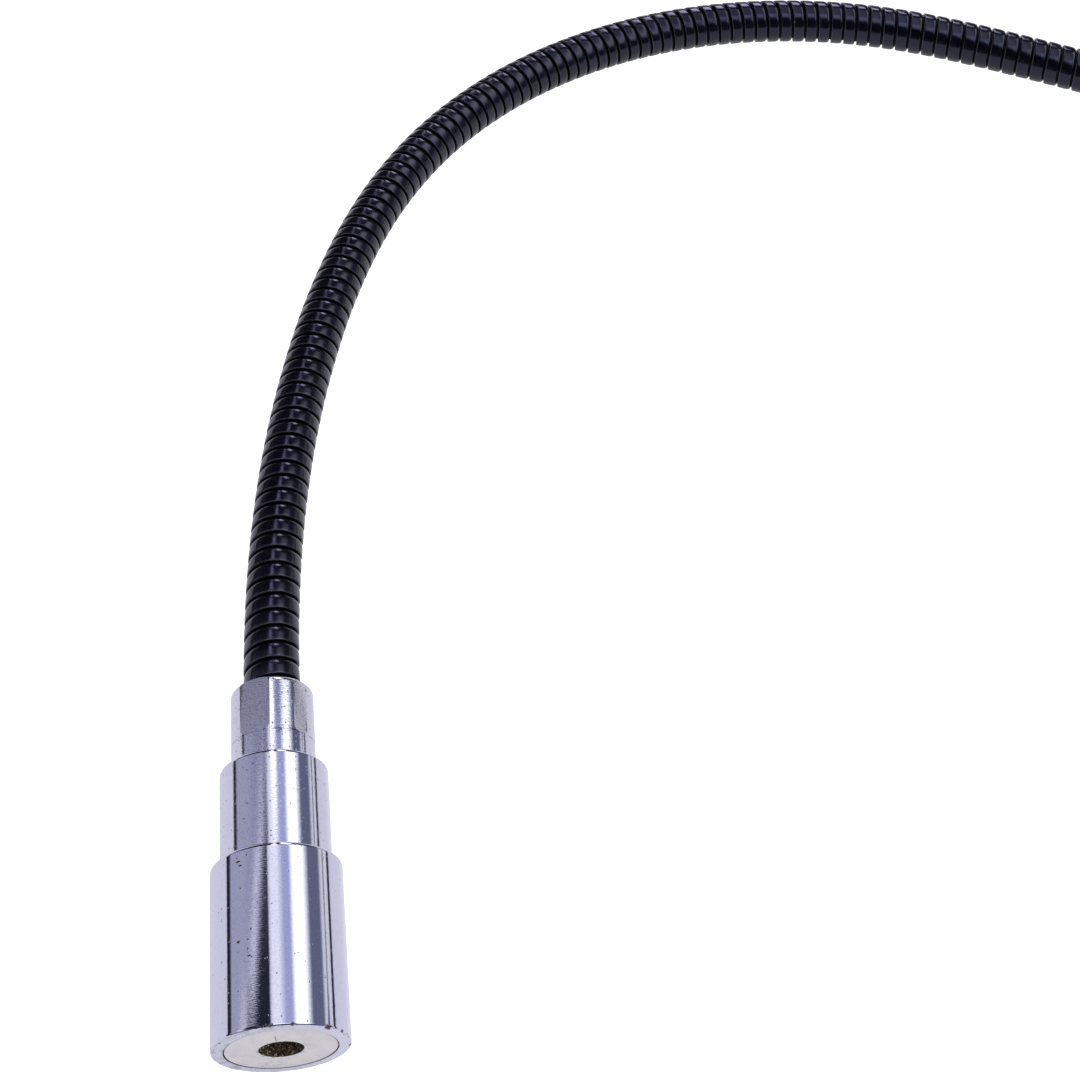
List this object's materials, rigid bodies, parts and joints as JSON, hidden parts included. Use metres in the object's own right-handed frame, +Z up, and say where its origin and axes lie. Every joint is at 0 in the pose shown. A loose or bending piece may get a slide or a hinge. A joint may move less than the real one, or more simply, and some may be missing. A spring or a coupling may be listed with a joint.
{
  "type": "magnetic pick-up tool",
  "caption": "Flexible magnetic pick-up tool: a stepped chrome head with a ring magnet in its end, on a long bendable black wound neck, with a plain black grip.",
  "frame": {"origin": "on the table, under the middle of the tool's bounding box", "axes": "+Z up from the table, +X towards the grip, and the magnet's face looks along -Y, a little to +X"},
  "size_m": [0.4428, 0.2142, 0.022],
  "materials": {
    "chrome": "polished, with fine scratches and small pits",
    "nickel": "dull nickel plating, lightly stained",
    "steel": "plain dark steel",
    "black_wrap": "semi-gloss black on a wound wire, rubbed bare in specks at the edges",
    "spring_steel": "oiled spring wire",
    "black_rubber": "matt, finely grained"
  },
  "bodies": {
    "grip": {"grip_ferrule": "chrome", "grip_collar": "chrome", "grip_shaft": "steel", "grip_sleeve": "black_rubber", "grip_washer": "chrome", "end_cap": "black_rubber", "neck_wrap_14": "black_wrap", "neck_coil_14": "spring_steel"},
    "link_13": {"neck_wrap_13": "black_wrap", "neck_coil_13": "spring_steel"},
    "link_12": {"neck_wrap_12": "black_wrap", "neck_coil_12": "spring_steel"},
    "link_11": {"neck_wrap_11": "black_wrap", "neck_coil_11": "spring_steel"},
    "link_10": {"neck_wrap_10": "black_wrap", "neck_coil_10": "spring_steel"},
    "link_09": {"neck_wrap_09": "black_wrap", "neck_coil_09": "spring_steel"},
    "link_08": {"neck_wrap_08": "black_wrap", "neck_coil_08": "spring_steel"},
    "link_07": {"neck_wrap_07": "black_wrap", "neck_coil_07": "spring_steel"},
    "link_06": {"neck_wrap_06": "black_wrap", "neck_coil_06": "spring_steel"},
    "link_05": {"neck_wrap_05": "black_wrap", "neck_coil_05": "spring_steel"},
    "link_04": {"neck_wrap_04": "black_wrap", "neck_coil_04": "spring_steel"},
    "link_03": {"neck_wrap_03": "black_wrap", "neck_coil_03": "spring_steel"},
    "link_02": {"neck_wrap_02": "black_wrap", "neck_coil_02": "spring_steel"},
    "link_01": {"neck_wrap_01": "black_wrap", "neck_coil_01": "spring_steel"},
    "head": {"magnet_cup": "chrome", "ring_magnet": "nickel", "pole_disc": "steel", "head_sleeve": "chrome", "head_ferrule": "chrome", "neck_wrap_00": "black_wrap", "neck_coil_00": "spring_steel"}
  },
  "joints": [
    {"name": "neck_lift_14", "type": "hinge", "parent": "grip", "child": "link_13", "pos_m": [0.07454, 0.05588, 0.01096], "axis": [-0.0834, -0.9965, 0], "range_deg": [-20, 20]},
    {"name": "neck_side_13", "type": "hinge", "parent": "link_13", "child": "link_12", "pos_m": [0.04396, 0.05871, 0.01069], "axis": [0, 0, 1], "range_deg": [-25, 20]},
    {"name": "neck_lift_12", "type": "hinge", "parent": "link_12", "child": "link_11", "pos_m": [0.01355, 0.06298, 0.01024], "axis": [-0.1785, -0.9839, 0], "range_deg": [-20, 20]},
    {"name": "neck_side_11", "type": "hinge", "parent": "link_11", "child": "link_10", "pos_m": [-0.01634, 0.06999, 0.00972], "axis": [0, 0, 1], "range_deg": [-25, 20]},
    {"name": "neck_lift_10", "type": "hinge", "parent": "link_10", "child": "link_09", "pos_m": [-0.04543, 0.07983, 0.00922], "axis": [-0.3508, -0.9364, 0], "range_deg": [-20, 20]},
    {"name": "neck_side_09", "type": "hinge", "parent": "link_09", "child": "link_08", "pos_m": [-0.07409, 0.09087, 0.00885], "axis": [0, 0, 1], "range_deg": [-25, 20]},
    {"name": "neck_lift_08", "type": "hinge", "parent": "link_08", "child": "link_07", "pos_m": [-0.10316, 0.1007, 0.0087], "axis": [-0.2257, -0.9742, 0], "range_deg": [-20, 20]},
    {"name": "neck_side_07", "type": "hinge", "parent": "link_07", "child": "link_06", "pos_m": [-0.13367, 0.10247, 0.0087], "axis": [0, 0, 1], "range_deg": [-25, 20]},
    {"name": "neck_lift_06", "type": "hinge", "parent": "link_06", "child": "link_05", "pos_m": [-0.16295, 0.09373, 0.0087], "axis": [0.4477, -0.8942, 0], "range_deg": [-20, 20]},
    {"name": "neck_side_05", "type": "hinge", "parent": "link_05", "child": "link_04", "pos_m": [-0.18749, 0.07552, 0.0087], "axis": [0, 0, 1], "range_deg": [-25, 20]},
    {"name": "neck_lift_04", "type": "hinge", "parent": "link_04", "child": "link_03", "pos_m": [-0.20441, 0.05006, 0.0087], "axis": [0.9121, -0.4099, 0], "range_deg": [-20, 20]},
    {"name": "neck_side_03", "type": "hinge", "parent": "link_03", "child": "link_02", "pos_m": [-0.21336, 0.02075, 0.0087], "axis": [0, 0, 1], "range_deg": [-25, 20]},
    {"name": "neck_lift_02", "type": "hinge", "parent": "link_02", "child": "link_01", "pos_m": [-0.2171, -0.00971, 0.0087], "axis": [0.9985, -0.0549, 0], "range_deg": [-20, 20]},
    {"name": "neck_side_01", "type": "hinge", "parent": "link_01", "child": "head", "pos_m": [-0.21688, -0.04041, 0.0087], "axis": [0, 0, 1], "range_deg": [-25, 20]}
  ]
}
